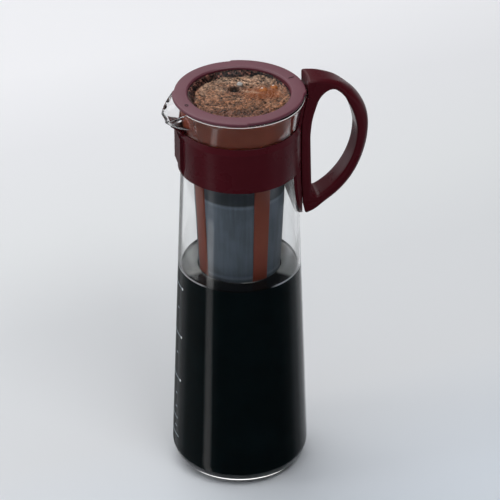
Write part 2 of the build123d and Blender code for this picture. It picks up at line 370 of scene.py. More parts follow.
# glass jug, millimetres
jug = {
    "baseRadius": 47.6,
    "neckRadius": 38.5,
    "neckHeight": 248.0,
    "rimRadius": 43.4,
    "rimHeight": 285.6,
    "wall": 1.9,
    "floor": 4.8,
    "corner": 15.0,
    "footRadius": 30.0,
    "hollow": 1.2,
    "tip": 0.6,            # radius of the smallest ring on the axis
    "spoutReach": 51.9,
    "spoutRadius": 19.0,
    "spoutDroop": 11.6,
    "droopPower": 1.25,
    "spoutDepth": 31.6,
    "droopStart": 38.5,
    "blend": 2.2,
    "beadGrow": 0.25,      # the fire-polished rim is a little thicker than the wall
    "beadHeight": 2.6,
    "plainFrom": 12.0,     # the wall is plain between these heights
    "plainTo": 252.0,
    "steps": 256,
    "crowd": 0.42,         # how much closer the steps stand at the spout
}
wallTaper = (jug["baseRadius"] - jug["neckRadius"]) / jug["neckHeight"]


def flareArc():
    length = math.hypot(1, wallTaper)
    nx, nz = 1 / length, wallTaper / length
    dx = jug["rimRadius"] - jug["neckRadius"]
    dz = jug["rimHeight"] - jug["neckHeight"]
    radius = (dx * dx + dz * dz) / (2 * (dx * nx + dz * nz))
    return jug["neckRadius"] + radius * nx, jug["neckHeight"] + radius * nz, radius


flare = flareArc()


def jugRadius(z):
    if z <= jug["neckHeight"]:
        return jug["baseRadius"] - wallTaper * z
    cx, cz, radius = flare
    return cx - math.sqrt(radius ** 2 - (z - cz) ** 2)


def wallRadius(angle, z, inset=0.0):
    # distance of the glass wall from the axis, spout included
    plain = jugRadius(z) - inset
    root = jug["rimHeight"] - jug["spoutDepth"]
    lip = jug["rimHeight"] - jug["spoutDroop"]
    if z <= root:
        return plain
    share = min(1.0, (z - root) / (lip - root))
    start = jugRadius(root)
    tip = start + (jug["spoutReach"] - start) * share ** 3
    curve = jug["spoutRadius"] * (0.6 + 0.4 * share)
    centre = tip - curve
    curve -= inset
    turn = angle - math.pi
    side = centre * math.sin(turn)
    if math.cos(turn) <= 0 or abs(side) >= curve:
        return plain
    lobe = centre * math.cos(turn) + math.sqrt(curve ** 2 - side ** 2)
    k = jug["blend"] * share
    return (plain + lobe + math.sqrt((plain - lobe) ** 2 + k * k)) / 2 - k * 0.12


def rimAt(angle):
    # height of the rim at an angle: it falls away along the spout
    z = jug["rimHeight"]
    span = jug["spoutReach"] - jug["droopStart"]
    for _ in range(6):
        x = -wallRadius(angle, z) * math.cos(angle)
        share = max(0.0, (x - jug["droopStart"]) / span)
        z = jug["rimHeight"] - jug["spoutDroop"] * share ** jug["droopPower"]
    return z


def jugAngles():
    turns = [math.tau * i / jug["steps"] for i in range(jug["steps"])]
    return [t + jug["crowd"] * math.sin(t) for t in turns]


def buildJug():
    angles = jugAngles()
    rims = [rimAt(a) for a in angles]
    start, low = jug["plainFrom"], jug["plainTo"]
    levels = [start + (low - start) * i / 40 for i in range(41)]
    upper = [(i + 1) / 44 for i in range(44)]
    bead = jug["wall"] / 2 + jug["beadGrow"]
    rows = []

    def ring(radius, z):
        rows.append([polar(radius, a, z) for a in angles])

    def upperWall(t, inset, grow):
        row = []
        for a, rim in zip(angles, rims):
            z = low + (rim - bead - low) * t
            swell = grow * jug["beadGrow"] * blendStep(1 - (rim - bead - z) / jug["beadHeight"])
            row.append(polar(wallRadius(a, z, inset) + swell, a, z))
        rows.append(row)

    # underside and outer corner
    foot, corner = jug["footRadius"], jug["corner"]
    for i in range(9):
        t = i / 8
        ring(max(jug["tip"], foot * t), jug["hollow"] * (0.5 + 0.5 * math.cos(math.pi * t)))
    outer = roundCorner((0, 0), (jug["baseRadius"], 0),
                        (jug["neckRadius"], jug["neckHeight"]), corner, 16)
    for radius, z in outer:
        ring(radius, z)
    for z in levels:
        if z > outer[-1][1] + 1:
            ring(jugRadius(z), z)
    for t in upper:
        upperWall(t, 0.0, 1)
    # fire-polished rim
    for i in range(1, 10):
        turn = math.pi * i / 10
        row = []
        for a, rim in zip(angles, rims):
            outerWall = wallRadius(a, rim - bead) + jug["beadGrow"]
            innerWall = wallRadius(a, rim - bead, jug["wall"]) - jug["beadGrow"]
            middle, half = (outerWall + innerWall) / 2, (outerWall - innerWall) / 2
            row.append(polar(middle + half * math.cos(turn), a,
                             rim - bead + bead * math.sin(turn)))
        rows.append(row)
    # inner wall down to the floor
    for t in reversed(upper):
        upperWall(t, jug["wall"], -1)
    inner = innerCorner(14)
    for z in reversed(levels):
        if z > inner[-1][1] + 1:
            ring(jugRadius(z) - jug["wall"], z)
    for radius, z in reversed(inner):
        ring(radius, z)
    for i in range(1, 7):
        ring(max(jug["tip"], inner[0][0] * (1 - i / 6)), jug["floor"])

    bm = bmesh.new()
    skinRows(bm, rows, capFirst=True, capLast=True)
    return finishMesh("glassJug", bm, clearGlass, 80)


def innerCorner(steps):
    wall = jug["wall"]
    return roundCorner((0, jug["floor"]), (jug["baseRadius"] - wall, jug["floor"]),
                       (jug["neckRadius"] - wall, jug["neckHeight"]), jug["corner"] - wall, steps)


glassJug = buildJug()
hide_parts("glass_jug")
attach(glassJug, "jug")
print("glass jug made")


# level marks under the spout: height, first and last degree, and whether a dot ends it
scale = {
    "marks": [(145.4, 170, 191, True), (127.4, 181, 185, False), (106.7, 170, 191, True),
              (91.2, 181, 185, False), (71.8, 170, 191, True), (57.8, 181, 185, False),
              (47.0, 182, 186, False), (38.5, 172, 188, False), (31.5, 182, 187, False),
              (24.5, 172, 191, False)],
    "thick": 0.6,
    "proud": 0.07, "sunk": 0.02,
    "dot": 0.95,
    "colour": (0.36, 0.44, 0.48),
    "dotColour": (0.85, 0.90, 0.93),
}


def buildMarks():
    made, tree, shader = startMaterial("markPrint")
    addTint(tree, shader, 0.8, 1.1, 300.0)
    setSockets(shader, Roughness=0.5)
    bm = bmesh.new()
    colours = {}
    half, proud, sunk = scale["thick"] / 2, scale["proud"], scale["sunk"]

    def onGlass(turn, z, lift):
        return polar(jugRadius(z) + lift, turn, z)

    def addMark(rows, colour):
        for row in skinRows(bm, rows, capFirst=True, capLast=True):
            colours.update((vert, colour) for vert in row)

    for height, first, last, dotted in scale["marks"]:
        count = max(3, last - first)
        turns = [math.radians(first + (last - first) * i / count) for i in range(count + 1)]
        corners = ((-half, sunk), (-half, proud), (half, proud), (half, sunk))
        addMark([[onGlass(turn, height + dz, lift) for dz, lift in corners] for turn in turns],
                scale["colour"])
        if dotted:
            turn = math.radians(last + 0.6)
            addMark([[onGlass(turn + x / jugRadius(height), height + y, lift)
                      for x, y, _ in circle(scale["dot"], 0.0, 14)]
                     for lift in (sunk, proud + 0.03)], scale["dotColour"])
    paint(bm, lambda vert: colours[vert])
    return finishMesh("scaleMarks", bm, made, 30)


scaleMarks = buildMarks()
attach(scaleMarks, "jug")
print("scale made")


# brewed coffee
coffee = {
    "height": 158.0,
    "colour": (0.0035, 0.0085, 0.0100),
    # the surface: painted reflection, pale round the basket and paler to the right, dark in front
    # of it, with a painted highlight at the glass
    "paleReflection": (0.34, 0.36, 0.345), "paleReflectionRight": (0.56, 0.58, 0.56),
    "skinDark": (0.004, 0.004, 0.004),
    "edgeHighlight": (0.70, 0.72, 0.73),
    "front": -103.0,
    "frontSpan": (58, 66),
    "meniscus": 1.6,
    "overlap": 0.03,
    "basketGap": 0.12,
}


# filter frame: the coffee fits round its basket
filterFrame = {
    "top": 285.5, "topRadius": 39.8,
    "collarFoot": 256.6, "collarRadius": 36.15,
    "hoopTop": 238.6, "hoopFoot": 231.6, "hoopRadius": 32.5,
    "basketTop": 31.4, "basketFoot": 26.8, "low": 128.0,
    "wall": 1.6, "collarWall": 1.4,
    "ribArc": 22.0, "ribTurn": 17.0, "ribs": 4,
    "baseHoop": 5.0, "lip": 3.2, "baseThick": 1.8,
    "gauzeSink": 0.8, "gauzeBulge": 0.5,
}


def basketRadius(z):
    f = filterFrame
    return f["basketFoot"] + (f["basketTop"] - f["basketFoot"]) * (z - f["low"]) / (
        f["hoopFoot"] - f["low"])


def makeCoffee(name, rough, gloss):
    made, tree, shader = startMaterial(name)
    addTint(tree, shader, 0.8, 1.2, 40.0)
    setSockets(shader, Roughness=rough, IOR=1.33, Specular_IOR_Level=gloss)
    return made


def fromFront(point):
    # degrees between a point and the jug's front
    return abs(turnFrom(math.degrees(math.atan2(point.y, point.x)), coffee["front"]))


def coffeeEdge():
    return jugRadius(coffee["height"]) - jug["wall"] + coffee["overlap"]


def buildCoffee():
    level, over = coffee["height"], coffee["overlap"]
    outline = innerCorner(22)
    profile = [(jug["tip"], jug["floor"] - over)]
    profile += [(radius + over, z - over) for radius, z in outline]
    for i in range(1, 20):
        z = outline[-1][1] + (level - outline[-1][1]) * i / 20
        profile.append((jugRadius(z) - jug["wall"] + over, z))
    profile.append((coffeeEdge(), level - coffee["meniscus"] * 0.5))
    bm = bmesh.new()
    lathe(bm, profile, 240, closed=False)
    paint(bm, lambda vert: coffee["colour"])
    return finishMesh("brewedCoffee", bm, makeCoffee("brewedCoffee", 0.06, 0.0), 60)


def skinPaintedReflection(vert):
    point = vert.co
    if point.z < coffee["height"] - 2.5:      # the sunk part, round the basket
        return coffee["skinDark"]
    turn = fromFront(point)
    # painted reflection: pale at the sides, fading to the coffee's own dark colour in front, paler
    # to the right
    darkEnd, paleStart = coffee["frontSpan"]
    share = blendStep((turn - darkEnd) / (paleStart - darkEnd))
    side = blendStep(0.5 + (point.x * right.x + point.y * right.y) / 20)
    pale = mixColour(coffee["paleReflection"], coffee["paleReflectionRight"], side)
    colour = mixColour(coffee["skinDark"], pale, share)
    # a dark line along the glass, with a painted highlight on it
    if math.hypot(point.x, point.y) > coffeeEdge() - 0.9:
        highlightShare = blendStep((turn - 30) / 12) * (1 - blendStep((turn - 84) / 10))
        colour = mixColour(colour, coffee["skinDark"], 0.7)
        colour = mixColour(colour, coffee["edgeHighlight"], highlightShare)
    return colour


def buildSkin():
    # the surface climbs a little at the glass and at the basket, which it lines
    level, rise, edge = coffee["height"], coffee["meniscus"], coffeeEdge()
    hole = basketRadius(level) + coffee["basketGap"]
    foot = filterFrame["low"] - 0.4
    profile = [(jug["tip"], foot), (basketRadius(foot) + 0.3, foot), (hole, level - 3)]
    for i in range(41):
        radius = hole + (edge - hole) * i / 40
        climb = rise * (math.exp(-(edge - radius) / 0.8) + 0.5 * math.exp(-(radius - hole) / 0.6))
        profile.append((radius, level - 1.2 + climb))
    profile.append((edge, level - rise * 0.5 - 0.2))
    bm = bmesh.new()
    lathe(bm, profile, 240, closed=False)
    paint(bm, skinPaintedReflection)
    return finishMesh("coffeeSkin", bm, makeCoffee("coffeeSkin", 0.10, 0.7), 60)


brewedCoffee = buildCoffee()
coffeeSkin = buildSkin()
for piece in (brewedCoffee, coffeeSkin):
    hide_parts("brewed_coffee")
    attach(piece, "jug")
print("coffee made")


# ring on the mouth
rimRing = {
    "outer": 44.2, "relief": 43.0, "reliefs": ((-95, -15), (85, 165)), "soft": 3.0,
    "bore": 34.0, "low": 285.6, "top": 288.0,
    "skirtLow": 279.6, "skirtOuter": 37.2, "steps": 320,
    "markTurn": 16.0, "dash": (2.0, 0.4), "dot": (0.75, 1.3),
}


def ringReach(angle):
    # the ring's edge is cut back on two sides
    cut = 0.0
    for first, last in rimRing["reliefs"]:
        middle, half = (first + last) / 2, (last - first) / 2
        off = abs(turnFrom(math.degrees(angle), middle))
        cut = max(cut, 1 - blendStep((off - half) / rimRing["soft"] + 0.5))
    return rimRing["outer"] + (rimRing["relief"] - rimRing["outer"]) * cut


def buildRing():
    r = rimRing
    outline = [(r["bore"], r["skirtLow"]), (r["skirtOuter"], r["skirtLow"]),
               (r["skirtOuter"] + 0.6, r["low"]), (r["outer"], r["low"]),
               (r["outer"], r["top"]), (r["bore"] + 0.9, r["top"]), (r["bore"], r["top"] - 0.9)]
    profile = roundedOutline(outline, [0.3, 0.3, 0.3, 0.6, 1.0, 0.5, 0.5])
    angles = [math.tau * i / r["steps"] for i in range(r["steps"])]
    rows = []
    for radius, z in profile:
        share = blendStep((radius - 40) / 2)      # only the outer edge is cut back
        rows.append([polar(radius + (ringReach(a) - r["outer"]) * share, a, z) for a in angles])
    bm = bmesh.new()
    skinRows(bm, rows, closeRows=True)
    return finishMesh("mouthRing", bm, satinLitPlastic, 35)


def buildRingMarks():
    r = rimRing
    bm = bmesh.new()
    middle = (r["outer"] + r["bore"]) / 2
    turn = math.radians(r["markTurn"])
    for start, long in ((turn, True), (turn + math.pi, False)):
        across, along = Vector(polar(1, start)), Vector(polar(1, start + math.pi / 2))
        centre = across * middle + up * r["top"]
        if long:
            dx, dy = r["dash"]
            low = [centre + across * x + along * y - up * 0.2
                   for x, y in ((-dx, -dy), (dx, -dy), (dx, dy), (-dx, dy))]
            skinRows(bm, [low, [p + up * 0.4 for p in low]], capFirst=True, capLast=True)
        else:
            bore, rim = r["dot"]
            rows = [[centre + across * x + along * y + up * z for x, y, z in circle(*size, 20)]
                    for size in ((bore, -0.2), (bore, 0.15), (rim, 0.15), (rim, -0.2))]
            skinRows(bm, rows, closeRows=True)
    return finishMesh("ringMarks", bm, shadedMarkPlastic, 35)


mouthRing = buildRing()
shadedMarkPlastic = makeBurgundy("shadedMarkPlastic", shadedMark)
ringMarks = buildRingMarks()
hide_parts("rim_ring")
for piece in (mouthRing, ringMarks):
    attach(piece, "filter")
print("ring made")


# handle: (distance from the jug's axis, height)
handle = {
    "wide": 11.3, "slim": 8.4, "taperStart": 31.0, "taperEnd": 64.0,
    "stem": ((47.6, 210.6), (46.5, 252.0)),
    "arch": ((47.6, 264.0), (50.2, 273.7), (52.8, 280.2), (57.4, 284.6), (63.0, 285.4),
             (69.0, 280.3), (72.9, 273.3), (76.4, 265.1), (78.4, 257.3), (78.9, 252.0)),
    "holeLow": (26.5, 252.0, 52.4), "holeTurn": -58.8, "holeLead": -9.0,
    "holeCorner": (51.6, 210.6, 4.0),
    "crown": (48.0, 255.0, 39.6, 39.6),
    "belly": (37.5, 255.0, 50.1, 61.0),
    "foot": 194.6, "footRound": 1.4, "footWide": 2.6, "toe": 205.5, "toeStart": 42.0, "toeCut": 2.2,
    "seatGap": 2.25, "strapSeat": 41.26, "ringSeat": 45.25, "ringSeatLow": 283.0,
    "top": 294.6, "crownRound": 1.1,
    # slot for the strap's rail, measured from the glass
    "slotLow": 201.7, "slotHigh": 284.0, "slotLip": 3.85, "slotDeep": 5.75,
    "slotHalf": 2.55, "slotHead": 4.8, "slotMouth": 7.3,
    # how far edges are rounded, and where along X the grip turns round
    "holeEdge": 1.8, "seatEdge": 0.8, "lowEdge": 1.4, "crownEdge": [(46, 1.4), (64.5, 3.1)],
    "gripRound": 5.5, "gripFull": 0.96, "crownTurn": (63, 12), "bellyTurn": (44, 16),
    "hollowEnds": (203, 285), "hollowFade": 7.0,
}


def gripHalf(x):
    h = handle
    t = (x - h["taperStart"]) / (h["taperEnd"] - h["taperStart"])
    return h["wide"] + (h["slim"] - h["wide"]) * blendStep(t)


def seatRadius(z):
    # the handle's back, where it stands against the strap and clears the ring
    h = handle
    reach = max(jugRadius(min(z, jug["rimHeight"])) + h["seatGap"],
                h["strapSeat"] if z > 230 else 0)
    if z < h["toe"]:
        reach = max(reach, h["toeStart"] + h["toeCut"] * (h["toe"] - z) / (h["toe"] - h["foot"]))
    if z > h["ringSeatLow"]:
        reach = h["ringSeat"]
    return reach


def handleOutlines():
    h = handle
    low, high = h["stem"]
    cx, cz, radius = h["holeLow"]
    lead = tuple(high[k] + (low[k] - high[k]) * 0.25 for k in (0, 1))
    tail = arcPoints(cx, cz, radius, radius, h["holeLead"], 0, 1)[0]
    hole = [low] + smoothLine([lead, high, *h["arch"], tail])
    hole += arcPoints(cx, cz, radius, radius, 0, h["holeTurn"], 60)[1:]
    hole += arcPoints(*h["holeCorner"][:2], h["holeCorner"][2], h["holeCorner"][2],
                      h["holeTurn"], -180, 8)[1:-1]
    foot, top = h["foot"], h["top"]
    seat = [(seatRadius(foot + (top - foot) * i / 90), foot + (top - foot) * i / 90)
            for i in range(91)]
    crown = arcPoints(*h["crown"], 90, 0, 60)
    belly = [p for p in arcPoints(*h["belly"], 0, -90, 80)[1:]
             if p[0] > seatRadius(foot) + h["footWide"] and p[1] > foot]
    shell = seat[2:-2]
    shell += roundCorner(seat[-4], (h["ringSeat"], top), crown[0], h["crownRound"], 6)
    shell += crown + belly
    shell += roundCorner(belly[-1], (seatRadius(foot), foot), seat[3], h["footRound"], 6)
    return hole, shell


def handleStations():
    # centre and direction of each ray that cuts a section of the loop
    keys = [(62, 262, 180), (62, 262, 90), (62, 250, 0), (56, 222, -90), (56, 212, -180),
            (62, 262, -180)]
    counts = (90, 70, 80, 80, 34)
    made = []
    for a, b, count in zip(keys[:-1], keys[1:], counts):
        for i in range(count):
            made.append([p + (q - p) * i / count for p, q in zip(a, b)])
    return made


def outerRounding(x, z, onSeat):
    # how far the outer edges are rounded: along the section, and across it
    h = handle
    if onSeat:
        return h["seatEdge"], h["seatEdge"]
    high = z > h["crown"][1]
    plain = between(h["crownEdge"], x) if high else h["lowEdge"]
    start, span = h["crownTurn"] if high else h["bellyTurn"]
    share = blendStep((x - start) / span)
    full = gripHalf(x) * h["gripFull"]
    return (plain + (h["gripRound"] - plain) * share, plain + (full - plain) * share)


def handleSection(inner, outer):
    # one closed section of the loop, from the hole's edge to the outer edge
    h = handle
    ux, uz = outer[0] - inner[0], outer[1] - inner[1]
    length = math.hypot(ux, uz)
    ux, uz = ux / length, uz / length
    seatX = seatRadius(outer[1])
    onSeat = abs(outer[0] - seatX) < 0.05
    hollow = 1.0 if onSeat else 0.0
    if not onSeat and not h["hollowEnds"][0] <= outer[1] <= h["hollowEnds"][1]:
        hollow = 1 - blendStep((outer[0] - seatX) / h["hollowFade"])

    def pull(y):
        # the back is hollow, to the curve of the jug
        return hollow * (seatX - math.sqrt(seatX ** 2 - y ** 2))

    def along(s, inset):
        x = inner[0] + ux * s
        y = gripHalf(x) - inset
        return (x - pull(y) * s / length, y, inner[1] + uz * s)

    edge = h["holeEdge"]
    deep, across = outerRounding(*outer, onSeat)
    half = [(inner[0], 0.0, inner[1]),
            (inner[0], 0.55 * (gripHalf(inner[0]) - edge), inner[1])]
    for i in range(6):
        turn = math.radians(90 * i / 5)
        half.append(along(edge * (1 - math.cos(turn)), edge * (1 - math.sin(turn))))
    for i in range(1, 4):
        half.append(along(edge + (length - deep - edge) * i / 4, 0.0))
    for i in range(8):
        turn = math.radians(90 * i / 7)
        half.append(along(length - deep * (1 - math.sin(turn)), across * (1 - math.cos(turn))))
    flat = gripHalf(outer[0]) - across
    glassWall = jug["baseRadius"] - wallTaper * outer[1]
    lip, deepest = glassWall + h["slotLip"], glassWall + h["slotDeep"]
    if onSeat and h["slotLow"] < outer[1] < h["slotHigh"] and outer[0] - deepest < 0.4:
        head = h["slotHead"]
        narrow = h["slotHalf"] if outer[0] < lip - 0.1 else head      # no lips past the rail
        for y, wall in ((h["slotMouth"], 0), (head, 0), (narrow, 0), (narrow, lip), (head, lip),
                        (head, deepest), (0.0, deepest)):
            half.append((max(outer[0] - pull(y), wall), y, outer[1]))
    else:
        for share in (0.75, 0.5, 0.26, 0.2, 0.14, 0.07, 0.0):
            half.append((outer[0] - pull(share * flat), share * flat, outer[1]))
    return half + [(x, -y, z) for x, y, z in reversed(half[1:-1])]


def buildHandle():
    hole, shell = handleOutlines()
    rows = []
    for cx, cz, angle in handleStations():
        way = (math.cos(math.radians(angle)), math.sin(math.radians(angle)))
        near, far = firstHit(hole, (cx, cz), way), firstHit(shell, (cx, cz), way)
        rows.append(handleSection((cx + way[0] * near, cz + way[1] * near),
                                  (cx + way[0] * far, cz + way[1] * far)))
    bm = bmesh.new()
    skinRows(bm, rows, closeRows=True)
    return finishMesh("loopHandle", bm, burgundyPlastic, 42)


loopHandle = buildHandle()
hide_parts("handle")
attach(loopHandle, "handle")
print("handle made")


# filter frame
brown = {"deep": (0.295, 0.066, 0.037), "pale": (0.40, 0.100, 0.055), "rough": 0.4}


def makeBrown():
    made, tree, shader = startMaterial("brownPlastic")
    tint = addRamp(tree, addNoise(tree, 18.0), [(0.3, brown["deep"]), (0.7, brown["pale"])])
    tree.links.new(tint, shader.inputs["Base Color"])
    setSockets(shader, Roughness=brown["rough"], IOR=1.5, Subsurface_Weight=0.3,
               Subsurface_Radius=(0.006, 0.002, 0.001), Subsurface_Scale=1.0)
    addBump(tree, shader, addNoise(tree, 900.0), 0.1, 0.00005)
    return made


def addRibs(bm, low, high):
    # ribs with rounded edges, sunk a little into both hoops
    f = filterFrame
    half = math.radians(f["ribArc"] / 2)
    for index in range(f["ribs"]):
        middle = math.radians(f["ribTurn"] + index * 360 / f["ribs"])
        rows = []
        for i in range(25):
            z = low - 0.6 + (high - low + 1.2) * i / 24
            radius = basketRadius(z)
            span = half * radius
            section = roundedOutline(
                [(-span, 0), (-span / 3, 0), (span / 3, 0), (span, 0),
                 (span, -f["wall"]), (-span, -f["wall"])], [0.7, 0, 0, 0.7, 0.4, 0.4])
            rows.append([polar(radius + sink, middle + along / radius, z)
                         for along, sink in section])
        skinRows(bm, rows, capFirst=True, capLast=True)


def buildFrame():
    f = filterFrame
    inner = f["basketTop"] - f["wall"]
    outline = [(f["topRadius"], f["top"]), (f["collarRadius"], f["collarFoot"]),
               (f["hoopRadius"], f["hoopTop"]), (f["hoopRadius"], f["hoopFoot"]),
               (inner, f["hoopFoot"]), (inner, f["hoopTop"]),
               (f["collarRadius"] - f["collarWall"], f["collarFoot"] + f["collarWall"]),
               (f["topRadius"] - f["collarWall"], f["top"])]
    bm = bmesh.new()
    lathe(bm, roundedOutline(outline, [0.5, 1.2, 1.0, 0.5, 0.3, 0.6, 1.0, 0.5]))
    low, hoop = f["low"], f["low"] + f["baseHoop"]
    wall, floor = basketRadius(low) - f["wall"], low + f["baseThick"]
    base = [(basketRadius(low), low), (basketRadius(hoop), hoop),
            (basketRadius(hoop) - f["wall"], hoop), (wall, floor),
            (wall - f["lip"], floor), (wall - f["lip"], low)]
    lathe(bm, roundedOutline(base, [0.7, 0.4, 0.4, 0.3, 0.4, 0.4]))
    addRibs(bm, hoop, f["hoopFoot"])
    return finishMesh("filterFrame", bm, brownPlastic, 35)


brownPlastic = makeBrown()
filterPiece = buildFrame()
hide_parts("filter_frame")
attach(filterPiece, "filter")
print("filter frame made")


# fine gauze, stretched between the ribs
gauze = {
    "thread": (0.20, 0.25, 0.31), "gap": (0.085, 0.105, 0.13),
    "pitch": 0.00055, "low": 133.1, "high": 231.5, "slack": 1.08,
    "streaks": (420.0, 420.0, 22.0),
    # how light the cloth is down its height: darker below the waterline, a painted highlight line
    # at the waterline and another under the strap, and painted shadow of the strap across the top
    "shade": [(0.1300, 0.60), (0.1588, 0.60), (0.1604, 1.50), (0.1624, 0.80), (0.1720, 0.86),
              (0.2150, 1.0), (0.2172, 1.6), (0.2186, 0.28), (0.2310, 0.40)],
}


def makeGauze():
    made, tree, shader = startMaterial("gauzeCloth")
    place = tree.nodes.new("ShaderNodeTexCoord")
    split = tree.nodes.new("ShaderNodeSeparateXYZ")
    tree.links.new(place.outputs["Object"], split.inputs["Vector"])
    # threads run round the basket and down it
    turn = addMath(tree, "ARCTAN2", split.outputs["Y"], split.outputs["X"])
    pace = math.tau / gauze["pitch"]
    across = addMath(tree, "SINE", addMath(tree, "MULTIPLY", turn, pace * 0.029))
    down = addMath(tree, "SINE", addMath(tree, "MULTIPLY", split.outputs["Z"], pace))
    weave = addMath(tree, "MAXIMUM", across, down)
    # wet patches, drawn out down the cloth
    streaks = addNoise(tree, 1.0)
    tree.links.new(addVector(tree, "MULTIPLY", place.outputs["Object"], gauze["streaks"]),
                   streaks.node.inputs["Vector"])
    cloud = addMath(tree, "ADD", addNoise(tree, 55.0, 4.0),
                    addMath(tree, "MULTIPLY", streaks, 0.75))
    mixed = addMath(tree, "ADD", addMath(tree, "MULTIPLY", weave, 0.22), cloud)
    tint = addRamp(tree, addMath(tree, "SUBTRACT", mixed, 0.45),
                   [(0.12, gauze["gap"]), (0.80, gauze["thread"])])
    # painted shadow and highlight lines, by height
    paintedShadeAndHighlights = addRamp(tree, addMath(tree, "MULTIPLY", split.outputs["Z"], 4.0),
                   [(z * 4, (share,) * 3) for z, share in gauze["shade"]])
    tree.links.new(addMix(tree, "MULTIPLY", tint, paintedShadeAndHighlights), shader.inputs["Base Color"])
    setSockets(shader, Roughness=0.55, Sheen_Weight=0.2)
    addBump(tree, shader, weave, 0.35, 0.00006)
    return made


def buildGauze(index):
    f = filterFrame
    pitch = 360 / f["ribs"]
    first = f["ribTurn"] + f["ribArc"] / 2 + index * pitch
    across, tall = 40, 64
    rows = []
    for i in range(tall + 1):
        tz = i / tall
        z = gauze["low"] + (gauze["high"] - gauze["low"]) * tz
        row = []
        for j in range(across + 1):
            ta = j / across
            turn = math.radians(first + (pitch - f["ribArc"]) * ta)
            swell = (math.sin(math.pi * ta) * math.sin(math.pi * tz)) ** 0.5
            crumple = 0.3 * noise.noise(Vector(polar(2.2, turn, z * 0.06)))
            radius = basketRadius(z) - f["gauzeSink"] + swell * (f["gauzeBulge"] + crumple)
            row.append(polar(radius, turn, z))
        rows.append(row)
    bm = bmesh.new()
    skinRows(bm, rows, loop=False)
    return finishMesh(f"gauzePanel{index + 1}", bm, gauzeCloth, 60)


def dress(node, material):
    # a node that keeps its own shape
    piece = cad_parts[node]
    piece.data.materials.clear()
    piece.data.materials.append(material)
    piece.data.shade_smooth()
    piece.data.set_sharp_from_angle(angle=math.radians(32))


gauzeCloth = makeGauze()
for number in range(filterFrame["ribs"]):
    panel = buildGauze(number)
    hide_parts(f"mesh_panel_{number + 1}")
    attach(panel, "filter")
dress("mesh_floor", gauzeCloth)
dress("collar_band", burgundyPlastic)
print("gauze stretched")


# wet grounds, with the foam on top that shows through the ring
foam = {
    "gap": 0.1, "radius": rimRing["bore"] - 0.1, "tip": 0.25, "rounds": 112, "around": 600,
    "edgeHeight": 281.8, "crownHeight": 283.9, "topMost": 286.0,
    # the froth climbs the ring's wall: how far, from where, and its share by degrees
    "bank": 4.6, "bankStart": 29.0,
    "bankRound": [(-165, 1.0), (-130, 0.3), (-100, 0.0), (-40, 0.0), (10, 0.5), (60, 1.0),
                  (180, 1.0)],
    # width of the dark wet rim by degrees
    "wetRound": [(-180, 4.4), (-150, 3.2), (-110, 1.0), (-13, 1.0), (45, 2.2), (80, 4.4),
                 (180, 4.4)],
    "cells": (2.6, 1.15),
    "craterPlace": (-1.2, 9.8), "craterRadius": 3.6, "craterDepth": 3.4,
    "pits": [(9.3, 15.6, 1.7), (5.9, 13.6, 1.3)],
    "streakEnd": (13.4, 3.0), "streakWide": 1.2,
    "patch": (17.6, 2.2, 13.0),
    "blobs": [(17.4, 5.7, 2.8), (25.7, 9.2, 2.6)], "reflectingBlob": (4.2, 16.6, 2.2),
    "wet": (0.15, 0.062, 0.046),
    "dark": (0.175, 0.080, 0.062),
    "hole": (0.008, 0.005, 0.004),
    "tan": (0.335, 0.148, 0.078),
    "pale": (0.55, 0.355, 0.240),
    "orange": (0.40, 0.135, 0.038),
    "amber": (0.27, 0.078, 0.026),
    "glint": (0.95, 0.90, 0.86),
    "bubbleReflection": (0.42, 0.40, 0.38),
}


def bubbles(x, y, z, size):
    # height of a froth of domes, and a number that differs from dome to dome
    near, places = noise.voronoi(Vector((x / size, y / size, z / size + size * 3.7)))
    crease = min(1.0, (near[1] - near[0]) * 2.2)
    return crease ** 0.6, noise.cell(places[0] * 7.3)


def drift(x, y, pace, layer):
    return noise.noise(Vector((x * pace, y * pace, layer)))


def scaled(colour, amount):
    return tuple(c * amount for c in colour)


def fromCrater(x, y):
    return x - foam["craterPlace"][0], y - foam["craterPlace"][1]


def wetShare(x, y):
    # 1 in the dark wet rim, wide at the back and left, thin elsewhere
    wide = between(foam["wetRound"], math.degrees(math.atan2(y, x)))
    rim = foam["radius"] - wide + 1.3 * drift(x, y, 0.22, 4.0)
    return blendStep((math.hypot(x, y) - rim) / 0.9 + 0.5)


